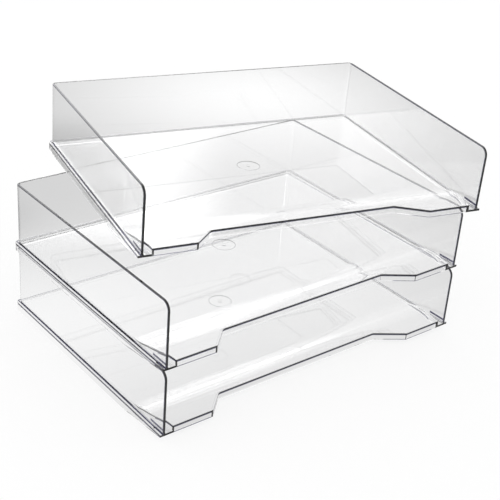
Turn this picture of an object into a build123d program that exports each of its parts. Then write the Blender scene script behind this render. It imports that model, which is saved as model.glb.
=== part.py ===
from build123d import *

import os
from math import asin, cos, degrees, radians, sin

# Stack of three clear letter trays, each one moulding, loaded from its long open front (-Y).
# Two trays stand squarely one on the other, and the top one lies askew, hooked behind a rear corner.
# Millimetres, +Z up, with the origin on the desk under the middle of the stack.

# Tray body
tray_width = 330.0  # across the outer faces of the side walls
tray_depth = 248.0  # front edge to the outer face of the back wall
wall_height = 59.5  # floor to rim
sheet = 2.0  # thickness of the walls, the floor and the raised front
rear_radius = 5.0  # rear corners of the walls, outer face, in plan
rim_front_radius = 8.0  # top front corners of the side walls, seen from the side
edge_radius = 0.25  # softened edges of the rim and of the walls' front ends
foot_radius = 1.0  # between the floor and the inner face of the walls

# Flange and lip round the foot of the walls
flange_reach = 3.0  # floor carried out past the walls
flange_chamfer = 0.3  # top outer edge of the flange
lip_height = 7.4  # foot of the lip to the floor's upper face
lip_sheet = 1.8
lip_climb = 56.0  # length over which the foot of the lip rises to the flange at the front

# Rails under the side walls, which stand on the rim of the tray below
rail_drop = 2.3  # below the underside of the floor
rail_setback = 6.0  # behind the rounded front corner of the rim below
seat_gap = 0.2  # clearance between a tray and the rim that carries it

# Raised front with its finger cut-out, a little off centre
sill_rise = 5.0  # sill above the floor
sill_land = 18.0  # level part of the sill, back from the front edge
ramp_length = 36.0  # S-shaped rise from the floor to the sill
cutout_depth = 17.5
left_tab = 40.5  # front edge left of the cut-out
right_tab = 43.0  # front edge right of the cut-out
left_slant = 18.5  # run of the slanted side along the front
right_slant = 28.0
cutout_radius = 5.0  # inner corners of the cut-out
tab_inner_radius = 0.8  # inner face of the apron at the corners of the tabs

# Pockets between the raised front and the side walls, running back into narrow channels
pocket_width = 7.5  # at the front edge
pocket_length = 30.0  # S-shaped run of the riser from the front edge to the channel
channel_width = 2.0

# Gate well in the underside of the floor
gate_radius = 11.0
gate_depth = 0.6
gate_offset = 22.0  # behind the middle of the tray
nub_radius = 2.0

# Top tray, lying askew on the tray below
top_turn = -12.29  # degrees about the vertical
top_shift = 37.3  # to the right
hook_gap = 1.2  # clearance between its back lip and the rear corner that it hooks behind

overrun = 5.0  # how far cuts run past what they cut

# Levels and plan positions of the tray, measured from the foot of its lip and its middle
underside = lip_height - sheet
sill_top = lip_height + sill_rise
rim = lip_height + wall_height
rail_foot = underside - rail_drop
stack_pitch = rim + seat_gap - rail_foot
front = -tray_depth / 2
back = tray_depth / 2
room_side = tray_width / 2 - sheet
riser_side = room_side - pocket_width
channel_side = room_side - channel_width
pocket_end = front + pocket_length
land_end = front + sill_land
ramp_end = land_end + ramp_length
cutout_back = front + cutout_depth
lip_inset = flange_reach - lip_sheet
rail_front = front + rim_front_radius + rail_setback
rail_rear = back - rear_radius
tab_radius = sheet + tab_inner_radius


def tray_plan(margin):
    """Plan of the tray, grown by a margin on its walled sides and square at its open front."""
    with BuildSketch() as plan:
        with Locations((0, margin / 2)):
            Rectangle(tray_width + 2 * margin, tray_depth + margin)
        fillet(plan.vertices().group_by(Axis.Y)[-1], rear_radius + margin)
    return plan.sketch


def ramp_profile(drop, base):
    """Side view of the raised front, from a base level up to its top face lowered by a drop."""
    foot = (ramp_end, lip_height - drop)
    crest = (land_end, sill_top - drop)
    bend = ((ramp_end + land_end) / 2, lip_height + sill_rise / 2 - drop)
    with BuildSketch() as profile:
        with BuildLine():
            TangentArc(foot, bend, tangent=(-1, 0))
            TangentArc(crest, bend, tangent=(1, 0))
            Polyline(crest, (front, sill_top - drop), (front, base), (ramp_end, base), foot)
        make_face()
    return profile.sketch


def outside_walls(edge):
    """Whether an edge lies outside the walls in plan, on the flange."""
    middle = edge.center()
    return abs(middle.X) > tray_width / 2 or middle.Y > back


flange_plan = tray_plan(flange_reach)
lip_plan = tray_plan(lip_inset)
wall_plan = tray_plan(0)
room_plan = tray_plan(-sheet)

# Raised front in plan: pocket, tab, cut-out, tab and pocket along the front edge
front_edge = (
    (-riser_side, front),
    (-riser_side + left_tab, front),
    (-riser_side + left_tab + left_slant, cutout_back),
    (riser_side - right_tab - right_slant, cutout_back),
    (riser_side - right_tab, front),
    (riser_side, front),
)
with BuildSketch() as front_plan:
    with BuildLine():
        FilletPolyline(*front_edge, radius=[tab_radius, cutout_radius, cutout_radius, tab_radius])
        for side in (-1, 1):
            bend = (side * (channel_side + riser_side) / 2, (front + pocket_end) / 2)
            TangentArc((side * riser_side, front), bend, tangent=(0, 1))
            TangentArc((side * channel_side, pocket_end), bend, tangent=(0, -1))
            Line((side * channel_side, pocket_end), (side * channel_side, ramp_end))
        Line((-channel_side, ramp_end), (channel_side, ramp_end))
    make_face()

# Where the floor stops: under the raised front and in the cut-out
with BuildSketch() as open_floor:
    add(front_plan.sketch)
    with Locations((0, (front + cutout_back) / 2)):
        Rectangle(2 * riser_side, cutout_depth)

# Hollow under the raised front, which leaves ramp, sill, apron and risers one sheet thick
with BuildPart() as hollow:
    with BuildSketch(Plane.YZ):
        add(ramp_profile(sheet, underside - overrun))
    extrude(amount=tray_width / 2, both=True)
    with BuildSketch():
        add(front_plan.sketch)
        offset(amount=-sheet, kind=Kind.INTERSECTION, mode=Mode.REPLACE)
        with Locations((0, (pocket_end + ramp_end) / 2)):
            Rectangle(2 * (channel_side - sheet), ramp_end - pocket_end)
    extrude(amount=sill_top, mode=Mode.INTERSECT)

with BuildPart() as raised_front:
    with BuildSketch(Plane.YZ):
        add(ramp_profile(0, underside))
    extrude(amount=tray_width / 2, both=True)
    with BuildSketch():
        add(front_plan.sketch)
    extrude(amount=sill_top, mode=Mode.INTERSECT)
    add(hollow.part, mode=Mode.SUBTRACT)

# Floor between three walls, with a coved foot, rounded front corners and soft rim edges
with BuildPart() as walls:
    with BuildSketch(Plane.XY.offset(underside)):
        add(wall_plan)
    extrude(amount=wall_height + sheet)
    with BuildSketch(Plane.XY.offset(lip_height)):
        add(room_plan)
    extrude(amount=wall_height, mode=Mode.SUBTRACT)
    room_floor = walls.faces().filter_by(Plane.XY).sort_by(Axis.Z)[1]
    fillet(room_floor.edges().sort_by(Axis.Y)[1:], foot_radius)
    front_corners = walls.edges().filter_by(Axis.X).group_by(Axis.Z)[-1].group_by(Axis.Y)[0]
    fillet(front_corners, rim_front_radius)
    rim_edges = walls.faces().sort_by(Axis.Z)[-1].edges().sort_by(Axis.Y)[len(front_corners):]
    fillet(rim_edges, edge_radius)
    with BuildSketch(Plane.XY.offset(underside)):
        add(open_floor.sketch)
    extrude(amount=sheet, mode=Mode.SUBTRACT)

# One moulding: lip, flange, floor and walls, raised front, rails and gate well
with BuildPart() as moulding:
    with BuildSketch():
        add(flange_plan)
        add(lip_plan, mode=Mode.SUBTRACT)
    extrude(amount=underside)
    with BuildSketch(Plane.YZ):
        with BuildLine():
            Polyline((front, 0), (front + lip_climb, 0), (front, underside), close=True)
        make_face()
    extrude(amount=tray_width, both=True, mode=Mode.SUBTRACT)
    with BuildSketch(Plane.XY.offset(underside)):
        add(flange_plan)
        add(open_floor.sketch, mode=Mode.SUBTRACT)
    extrude(amount=sheet)
    floor_edges = moulding.faces().sort_by(Axis.Z)[-1].outer_wire().edges()
    chamfer(floor_edges.filter_by(outside_walls), flange_chamfer)
    add(walls.part)
    add(raised_front.part)
    with BuildSketch(Plane.XY.offset(underside)):
        for side in (-1, 1):
            with Locations((side * (room_side + sheet / 2), (rail_front + rail_rear) / 2)):
                Rectangle(sheet, rail_rear - rail_front)
    extrude(amount=-rail_drop)
    with BuildSketch(Plane.XY.offset(underside)):
        with Locations((0, gate_offset)):
            Circle(gate_radius)
            Circle(nub_radius, mode=Mode.SUBTRACT)
    extrude(amount=gate_depth, mode=Mode.SUBTRACT)

# Plan position of the top tray: its back lip passes the rear right corner of the tray below
turn = radians(top_turn)
corner_x = tray_width / 2 - rear_radius
corner_y = back - rear_radius
hook_reach = back + lip_inset - rear_radius - hook_gap
top_y = corner_y - (hook_reach + (corner_x - top_shift) * sin(turn)) / cos(turn)

# Lean of the top tray: its left lip lies on the back rim and its floor on the right rim
lip_side = tray_width / 2 + lip_inset
lip_run = (back - top_y + lip_side * sin(turn)) / cos(turn)
lip_rest = -lip_side * cos(turn) - lip_run * sin(turn)
rim_rest = tray_width / 2 - top_shift
lean = asin(underside / (rim_rest - lip_rest))
top_z = stack_pitch + rim + seat_gap + lip_rest * sin(lean)

places = {
    "bottom_tray": Location((0, 0, 0)),
    "middle_tray": Location((0, 0, stack_pitch)),
    "top_tray": Location((top_shift, top_y, top_z), (0, degrees(lean), top_turn)),
}
stack = Compound([moulding.part.moved(place) for place in places.values()])
middle = stack.bounding_box().center()

os.makedirs("parts", exist_ok=True)
for name, place in places.items():
    with BuildPart() as tray:
        add(moulding.part.moved(Location((-middle.X, -middle.Y, 0)) * place))
    tray.part.label = name
    export_step(tray.part, f"parts/{name}.step")
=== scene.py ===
"""Three clear letter trays in a stack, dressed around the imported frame."""

from math import radians

import bpy
import numpy as np
from mathutils import Matrix


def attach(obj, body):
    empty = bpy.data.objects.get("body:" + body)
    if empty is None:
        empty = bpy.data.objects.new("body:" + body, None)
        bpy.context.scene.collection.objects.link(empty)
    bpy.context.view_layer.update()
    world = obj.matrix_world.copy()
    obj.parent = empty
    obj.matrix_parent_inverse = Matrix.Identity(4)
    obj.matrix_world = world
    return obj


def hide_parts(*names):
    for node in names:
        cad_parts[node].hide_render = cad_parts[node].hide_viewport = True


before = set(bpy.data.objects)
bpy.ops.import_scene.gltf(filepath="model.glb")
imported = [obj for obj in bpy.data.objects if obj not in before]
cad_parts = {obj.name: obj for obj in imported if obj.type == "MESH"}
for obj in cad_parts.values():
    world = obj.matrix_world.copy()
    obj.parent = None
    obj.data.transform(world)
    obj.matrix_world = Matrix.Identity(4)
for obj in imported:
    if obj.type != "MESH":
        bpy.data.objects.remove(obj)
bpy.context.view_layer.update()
scene = bpy.context.scene
scene.view_settings.view_transform = "Standard"

# Camera of the photograph
CAMERA_PLACE = (-0.6192, -0.7476, 0.5698)
CAMERA_TURN = (62.06, -4.06, -37.81)
CAMERA_LENS = 80.86
CAMERA_SENSOR = 36.0
CAMERA_SHIFT = (-0.0025, -0.0009)

# Light paths that a stack of clear sheets needs
LIGHT_BOUNCES = 48

# Floor: its colour, the share of it that shows as plain white, and the level of it that the sheets show
FLOOR_SIZE = 8.0
FLOOR_COLOUR = (0.97, 0.97, 0.97, 1.0)
FLOOR_WHITE_SHARE = 0.85
FLOOR_LEVEL = 0.92

# Painted pools of light and patches of shade on the floor, seen only in and through the sheets: centre,
# inner and outer reach, and change of level
FLOOR_PATCHES = {
    "shade_past_table": (0.15, 0.20, 0.60, 0.95, -0.255),
    "back_pool": (0.36, 0.46, 0.0, 0.40, 0.38),
    "left_pool": (-0.28, 0.07, 0.0, 0.30, 0.29),
    "front_pool": (0.04, 0.0, 0.0, 0.34, 0.17),
    "near_shade": (-0.225, 0.29, 0.0, 0.12, -0.62),
    "far_shade": (-0.18, 0.45, 0.0, 0.17, -0.46),
}

# Room that the sheets show: directions, levels, and where its back and its light panel begin and end
ROOM_AHEAD = (0.613, 0.79, 0.0)
ROOM_RIGHT = (0.79, -0.613, 0.0)
ROOM_FRONT_LEVEL = 0.80
ROOM_BACK_LEVEL = 1.1
ROOM_BACK = (0.25, 0.65)
PANEL_LEVEL = 1.3
PANEL_TOP = (0.48, 0.45)
PANEL_SIDE = (0.03, -0.06)
INNER_REACH = (1.5, 12.0)  # reflections after which the surroundings begin to dim, and are dark
WHITE = (1.0, 1.0, 1.0, 1.0)

# Clear plastic
TINT = (0.3, 0.325, 0.425, 1.0)
TINT_DENSITY = 5.0
PLASTIC_IOR = 1.59
# painted shade: near-black colour for the edges where a sheet is seen along its plane
EDGE_PAINTED_SHADE = (0.012, 0.012, 0.03, 1.0)
GATE_SHARE = 0.6  # share of the painted edge shade, as a dark line round the gate well
SMOOTH_ANGLE = radians(32)

# Moulded surface: noise scales per metre, the noise that counts, and how strong each effect is
RIPPLE_SCALE = 26.0
HAZE_SCALE = 14.0
HAZE_NOISE = (0.45, 0.75)
HAZE_COLOUR = (0.6, 0.63, 0.68, 1.0)
SCUFF_SCALE = 900.0
SCUFF_NOISE = (0.62, 0.72)
SCUFF_STRETCH = (1.0, 0.12, 0.5)
SCUFF_TURN = (0.2, 0.1, 0.6)
STRENGTHS = {"Ripple": 0.02, "Haze": 0.02, "Scuffs": 0.03}
RIPPLE_DEPTH = 0.001

# Tray, measured from its middle and from the foot of its lip
SIDE = 0.165  # outer face of the side walls
FRONT = -0.124
BACK = 0.124  # outer face of the back wall
SHEET = 0.002
UNDERSIDE = 0.0054
FLOOR_TOP = 0.0074
SILL_TOP = 0.0124
RIM = 0.0669
RIM_CORNER = 0.008
RISER_SIDE = 0.1555  # sides of the raised front
CUTOUT_BACK = -0.1065
GATE_RADIUS = 0.011
GATE_OFFSET = 0.022
GATE_DEPTH = 0.0006

# Edges given painted shade: how far each reaches, below and above what it follows
OUTLINE_WIDTH = 0.0009  # in from the outline of a side wall
OUTLINE_START = 0.0006  # up from the floor
WALL_MARGIN = 0.0005
FOOT_OUT = (-0.00015, 0.001)
FOOT_UP = (-0.0001, 0.0008)
FLOOR_UP = (-0.0014, -0.00001)
FLOOR_BACK = 0.004  # in from the back
RISER_MARGIN = 0.0002
SILL_UP = (-0.0021, -0.00001)
SILL_MARGIN = 0.001
GATE_LINE = (-0.00035, 0.00035)
GATE_UP = (-0.0004, GATE_DEPTH + 0.0001)

# Trays: place of the middle of the lip's foot, turn about the tray's vertical, lean about Y, and a seed
TRAYS = {
    "bottom_tray": ((-0.029533, -0.024645, 0.0), 0.0, 0.0, 1.0),
    "middle_tray": ((-0.029533, -0.024645, 0.064), 0.0, 0.0, 2.0),
    "top_tray": ((0.007767, -0.000706, 0.128198), -12.29, 1.1211, 3.0),
}


def node_maker(tree):
    """A function that adds a node, sets its properties and fills its inputs with values or links."""

    def make(kind, inputs=None, **settings):
        node = tree.nodes.new(kind)
        for key, value in settings.items():
            setattr(node, key, value)
        for key, value in (inputs or {}).items():
            if isinstance(value, bpy.types.NodeSocket):
                tree.links.new(value, node.inputs[key])
            else:
                node.inputs[key].default_value = value
        return node

    return make


def calc(make, kind, a, b=0.0, *more):
    """Output of a Math node on values or links."""
    inputs = dict(enumerate((a, b, *more)))
    return make("ShaderNodeMath", inputs, operation=kind).outputs[0]


def vector_calc(make, kind, a, b, output="Value"):
    """Output of a Vector Math node on two vectors or links."""
    return make("ShaderNodeVectorMath", {0: a, 1: b}, operation=kind).outputs[output]


def ramp(make, value, low, high, start, end):
    """Output of a smooth step from one level at low to another at high."""
    inputs = {"Value": value, "From Min": low, "From Max": high, "To Min": start, "To Max": end}
    return make("ShaderNodeMapRange", inputs, interpolation_type="SMOOTHSTEP").outputs[0]


def blend(make, share, first, second):
    """Colour between two colours or links, at a share of the way."""
    return make("ShaderNodeMix", {0: share, 6: first, 7: second}, data_type="RGBA").outputs[2]


def moulded_sheet():
    """Group for moulded sheet: ripples of the mould, a faint haze in patches, and fine scuffs."""
    group = bpy.data.node_groups.new("moulded_sheet", "ShaderNodeTree")
    sockets = group.interface
    for name, start in {"Seed": 0.0, **STRENGTHS}.items():
        socket = sockets.new_socket(name, in_out="INPUT", socket_type="NodeSocketFloat")
        socket.default_value = start
    sockets.new_socket("Color", in_out="OUTPUT", socket_type="NodeSocketColor")
    sockets.new_socket("Roughness", in_out="OUTPUT", socket_type="NodeSocketFloat")
    sockets.new_socket("Height", in_out="OUTPUT", socket_type="NodeSocketFloat")
    make = node_maker(group)
    given = make("NodeGroupInput").outputs
    place = make("ShaderNodeTexCoord").outputs["Object"]
    stretch = {"Vector": place, "Scale": SCUFF_STRETCH, "Rotation": SCUFF_TURN}
    stretched = make("ShaderNodeMapping", stretch).outputs[0]

    def noise(vector, scale, detail):
        inputs = {"Vector": vector, "W": given["Seed"], "Scale": scale, "Detail": detail}
        return make("ShaderNodeTexNoise", inputs, noise_dimensions="4D").outputs[0]

    ripple = calc(make, "MULTIPLY", noise(place, RIPPLE_SCALE, 1.0), given["Ripple"])
    patches = ramp(make, noise(place, HAZE_SCALE, 3.0), *HAZE_NOISE, 0.0, 1.0)
    lines = ramp(make, noise(stretched, SCUFF_SCALE, 2.0), *SCUFF_NOISE, 0.0, 1.0)
    haze = calc(make, "MULTIPLY", patches, given["Haze"])
    scuffs = calc(make, "MULTIPLY", calc(make, "MULTIPLY", lines, patches), given["Scuffs"])
    out = make("NodeGroupOutput")
    group.links.new(blend(make, haze, WHITE, HAZE_COLOUR), out.inputs["Color"])
    group.links.new(scuffs, out.inputs["Roughness"])
    group.links.new(ripple, out.inputs["Height"])
    return group


def sheet_edges():
    """Group for the places of a tray where a sheet is looked into along its plane, from tray coordinates:
    the masks of painted shade.

    Edge marks the outline of the side walls, which is a rounded corner's distance field, the foot of
    the walls, the edge of the floor, and the edge of the sill. Gate marks the rim of the gate well.
    """
    group = bpy.data.node_groups.new("sheet_edges", "ShaderNodeTree")
    group.interface.new_socket("Place", in_out="INPUT", socket_type="NodeSocketVector")
    group.interface.new_socket("Edge", in_out="OUTPUT", socket_type="NodeSocketFloat")
    group.interface.new_socket("Gate", in_out="OUTPUT", socket_type="NodeSocketFloat")
    make = node_maker(group)
    parts = make("ShaderNodeSeparateXYZ", {0: make("NodeGroupInput").outputs["Place"]})
    across = calc(make, "ABSOLUTE", parts.outputs["X"])
    deep, high = parts.outputs["Y"], parts.outputs["Z"]

    def band(value, level, reach):
        middle, half = (reach[0] + reach[1]) / 2, (reach[1] - reach[0]) / 2
        return calc(make, "COMPARE", value, level + middle, half)

    def both(a, b):
        return calc(make, "MULTIPLY", a, b)

    def either(a, b):
        return calc(make, "MAXIMUM", a, b)

    ahead = calc(make, "SUBTRACT", FRONT + RIM_CORNER, deep)
    above = calc(make, "SUBTRACT", high, RIM - RIM_CORNER)
    beyond = make("ShaderNodeCombineXYZ", {0: either(ahead, 0.0), 1: either(above, 0.0)}).outputs[0]
    corner = make("ShaderNodeVectorMath", {0: beyond}, operation="LENGTH").outputs["Value"]
    within = calc(make, "MINIMUM", either(ahead, above), 0.0)
    distance = calc(make, "ADD", corner, within)
    outline = calc(make, "GREATER_THAN", distance, RIM_CORNER - OUTLINE_WIDTH)
    side_wall = calc(make, "GREATER_THAN", across, SIDE - SHEET - WALL_MARGIN)
    raised = calc(make, "GREATER_THAN", high, FLOOR_TOP + OUTLINE_START)
    walls = both(outline, both(side_wall, raised))

    outward = either(calc(make, "SUBTRACT", across, SIDE - BACK), deep)
    foot = both(band(outward, BACK, FOOT_OUT), band(high, FLOOR_TOP, FOOT_UP))

    beside = calc(make, "GREATER_THAN", across, RISER_SIDE - RISER_MARGIN)
    behind = calc(make, "GREATER_THAN", deep, BACK - FLOOR_BACK)
    floor = both(band(high, FLOOR_TOP, FLOOR_UP), either(beside, behind))

    before = calc(make, "LESS_THAN", deep, CUTOUT_BACK + SILL_MARGIN)
    sill = both(band(high, SILL_TOP, SILL_UP), before)

    plan = make("ShaderNodeCombineXYZ", {0: parts.outputs["X"], 1: deep}).outputs[0]
    away = vector_calc(make, "DISTANCE", plan, (0.0, GATE_OFFSET, 0.0))
    gate = both(band(away, GATE_RADIUS, GATE_LINE), band(high, UNDERSIDE, GATE_UP))

    out = make("NodeGroupOutput")
    group.links.new(either(either(walls, foot), either(floor, sill)), out.inputs["Edge"])
    group.links.new(gate, out.inputs["Gate"])
    return group


def clear_plastic(name, place, turn, lean, seed, surface, edges):
    """Clear moulded plastic of one tray: glass with a smoky blue tint, and near-black painted shade on the
    edges where a sheet is seen along its plane and round the gate well.
    """
    material = bpy.data.materials.new(name)
    material.use_nodes = True
    tree = material.node_tree
    make = node_maker(tree)
    shader = tree.nodes["Principled BSDF"]
    shader.inputs["Transmission Weight"].default_value = 1.0
    shader.inputs["IOR"].default_value = PLASTIC_IOR
    sheet = make("ShaderNodeGroup", node_tree=surface)
    sheet.inputs["Seed"].default_value = seed
    relief = {"Height": sheet.outputs["Height"], "Strength": 1.0, "Distance": RIPPLE_DEPTH}
    bump = make("ShaderNodeBump", relief)
    spin = Matrix.Rotation(radians(lean), 3, "Y") @ Matrix.Rotation(radians(turn), 3, "Z")
    stack_place = make("ShaderNodeTexCoord").outputs["Object"]
    tray_axes = {"Vector": stack_place, "Location": place, "Rotation": spin.to_euler()}
    tray_place = make("ShaderNodeMapping", tray_axes, vector_type="TEXTURE").outputs[0]
    edge = make("ShaderNodeGroup", node_tree=edges)
    tree.links.new(tray_place, edge.inputs["Place"])
    outside = calc(make, "SUBTRACT", 1.0, make("ShaderNodeNewGeometry").outputs["Backfacing"])
    rims = calc(make, "MULTIPLY", edge.outputs["Edge"], outside)
    ring = calc(make, "MULTIPLY", edge.outputs["Gate"], GATE_SHARE)
    dark = calc(make, "MAXIMUM", rims, ring)
    # painted shade on the edges and round the gate well, put into the base colour
    tree.links.new(blend(make, dark, sheet.outputs["Color"], EDGE_PAINTED_SHADE), shader.inputs["Base Color"])
    tree.links.new(sheet.outputs["Roughness"], shader.inputs["Roughness"])
    tree.links.new(bump.outputs[0], shader.inputs["Normal"])
    absorb = make("ShaderNodeVolumeAbsorption", {"Color": TINT, "Density": TINT_DENSITY})
    tree.links.new(absorb.outputs[0], tree.nodes["Material Output"].inputs["Volume"])
    return material


def joined_mesh(name):
    """A node's triangles with corners at one place made one vertex, and triangles without area left out."""
    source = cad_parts[name].data
    points = np.empty(3 * len(source.vertices))
    corners = np.empty(len(source.loops), dtype=int)
    source.vertices.foreach_get("co", points)
    source.loops.foreach_get("vertex_index", corners)
    places, index = np.unique(points.reshape(-1, 3).round(7), axis=0, return_inverse=True)
    triangles = index.reshape(-1)[corners].reshape(-1, 3)
    whole = (triangles != np.roll(triangles, 1, axis=1)).all(axis=1)
    return places, triangles[whole]


def sheet_normals(places, triangles):
    """Normals of all triangle corners: flat on the sheets, turning evenly along the curves.

    A corner's normal is the mean of its vertex's triangles that lie within SMOOTH_ANGLE of its own,
    each weighted by the area of the whole flat face that it belongs to.
    """
    a, b, c = (places[triangles[:, k]] for k in range(3))
    cross = np.cross(b - a, c - a)
    area = np.linalg.norm(cross, axis=1)
    facing = cross / np.maximum(area, 1e-20)[:, None]
    plane = np.column_stack([facing.round(3), (facing * a).sum(axis=1).round(5)])
    _, face = np.unique(plane, axis=0, return_inverse=True)
    face = face.reshape(-1)
    weight = np.bincount(face, weights=area)[face]
    vertex = triangles.reshape(-1)
    triangle = np.repeat(np.arange(len(triangles)), 3)
    order = np.argsort(vertex, kind="stable")
    count = np.bincount(vertex)
    first = np.cumsum(count) - count
    reach = count[vertex]
    mine = np.repeat(np.arange(len(vertex)), reach)
    step = np.arange(reach.sum()) - np.repeat(np.cumsum(reach) - reach, reach)
    other = triangle[order[first[vertex[mine]] + step]]
    near = (facing[triangle[mine]] * facing[other]).sum(axis=1) > np.cos(SMOOTH_ANGLE)
    total = np.zeros((len(vertex), 3))
    np.add.at(total, mine[near], facing[other[near]] * weight[other[near], None])
    return total / np.linalg.norm(total, axis=1)[:, None]


def make_tray(name, material):
    """A tray: its CAD triangles joined up and shaded as flat sheets with rounded edges."""
    places, triangles = joined_mesh(name)
    mesh = bpy.data.meshes.new(name + "_clear")
    mesh.from_pydata(places, [], triangles)
    mesh.shade_smooth()
    mesh.normals_split_custom_set(sheet_normals(places, triangles))
    mesh.materials.append(material)
    tray = bpy.data.objects.new(name + "_clear", mesh)
    scene.collection.objects.link(tray)
    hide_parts(name)
    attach(tray, name)


def inner_share(make, path):
    """Share of the surroundings' light that is left after the reflections on a light path."""
    return ramp(make, path.outputs["Glossy Depth"], *INNER_REACH, 1.0, 0.0)


def make_floor():
    """White floor with a soft shadow, which the sheets show with painted pools of light and patches of
    shade.
    """
    bpy.ops.mesh.primitive_plane_add(size=FLOOR_SIZE)
    floor = bpy.context.object
    floor.name = "floor"
    material = bpy.data.materials.new("floor")
    material.use_nodes = True
    tree = material.node_tree
    make = node_maker(tree)
    shader = tree.nodes["Principled BSDF"]
    shader.inputs["Base Color"].default_value = FLOOR_COLOUR
    shader.inputs["Roughness"].default_value = 1.0
    shader.inputs["Specular IOR Level"].default_value = 0.0
    path = make("ShaderNodeLightPath")
    place = make("ShaderNodeTexCoord").outputs["Object"]
    level = FLOOR_LEVEL
    # painted pools of light and patches of shade, for the rays that come from the sheets
    for x, y, inner, outer, change in FLOOR_PATCHES.values():
        away = vector_calc(make, "DISTANCE", place, (x, y, 0.0))
        level = calc(make, "ADD", ramp(make, away, outer, inner, 0.0, change), level)
    camera = path.outputs["Is Camera Ray"]
    sheets = calc(make, "MAXIMUM", path.outputs["Is Reflection Ray"], path.outputs["Is Transmission Ray"])
    shown = calc(make, "MULTIPLY", calc(make, "MULTIPLY", sheets, level), inner_share(make, path))
    glow = make("ShaderNodeEmission", {"Strength": calc(make, "ADD", camera, shown)})
    seen = calc(make, "ADD", calc(make, "MULTIPLY", camera, FLOOR_WHITE_SHARE), sheets)
    mix = make("ShaderNodeMixShader", {0: seen, 1: shader.outputs[0], 2: glow.outputs[0]})
    tree.links.new(mix.outputs[0], tree.nodes["Material Output"].inputs["Surface"])
    floor.data.materials.append(material)


def make_world():
    """White room, which the sheets show lighter at the back, with a soft panel of light at the back left."""
    world = bpy.data.worlds.new("studio")
    world.use_nodes = True
    tree = world.node_tree
    make = node_maker(tree)
    path = make("ShaderNodeLightPath")
    place = make("ShaderNodeTexCoord").outputs["Generated"]
    height = make("ShaderNodeSeparateXYZ", {0: place}).outputs["Z"]
    right = vector_calc(make, "DOT_PRODUCT", place, ROOM_RIGHT)
    ahead = vector_calc(make, "DOT_PRODUCT", place, ROOM_AHEAD)
    low = ramp(make, height, *PANEL_TOP, 0.0, 1.0)
    panel = calc(make, "MULTIPLY", low, ramp(make, right, *PANEL_SIDE, 0.0, PANEL_LEVEL))
    room = calc(make, "ADD", panel, ramp(make, ahead, *ROOM_BACK, ROOM_FRONT_LEVEL, ROOM_BACK_LEVEL))
    sky = calc(make, "MULTIPLY", room, inner_share(make, path))
    plain = calc(make, "MAXIMUM", path.outputs["Is Camera Ray"], path.outputs["Is Diffuse Ray"])
    strength = make("ShaderNodeMix", {0: plain, 2: sky, 3: 1.0}, data_type="FLOAT").outputs[0]
    background = tree.nodes["Background"]
    background.inputs["Color"].default_value = WHITE
    tree.links.new(strength, background.inputs["Strength"])
    scene.world = world


def make_camera():
    """Camera at the photograph's place and angle."""
    data = bpy.data.cameras.new("camera")
    camera = bpy.data.objects.new("camera", data)
    scene.collection.objects.link(camera)
    camera.location = CAMERA_PLACE
    camera.rotation_euler = [radians(a) for a in CAMERA_TURN]
    data.sensor_width = CAMERA_SENSOR
    data.lens = CAMERA_LENS
    data.shift_x, data.shift_y = CAMERA_SHIFT
    scene.camera = camera


surface, edges = moulded_sheet(), sheet_edges()
for name, (place, turn, lean, seed) in TRAYS.items():
    make_tray(name, clear_plastic(name + "_plastic", place, turn, lean, seed, surface, edges))
make_floor()
make_world()
make_camera()
scene.cycles.max_bounces = LIGHT_BOUNCES
scene.cycles.transmission_bounces = LIGHT_BOUNCES
scene.cycles.glossy_bounces = LIGHT_BOUNCES
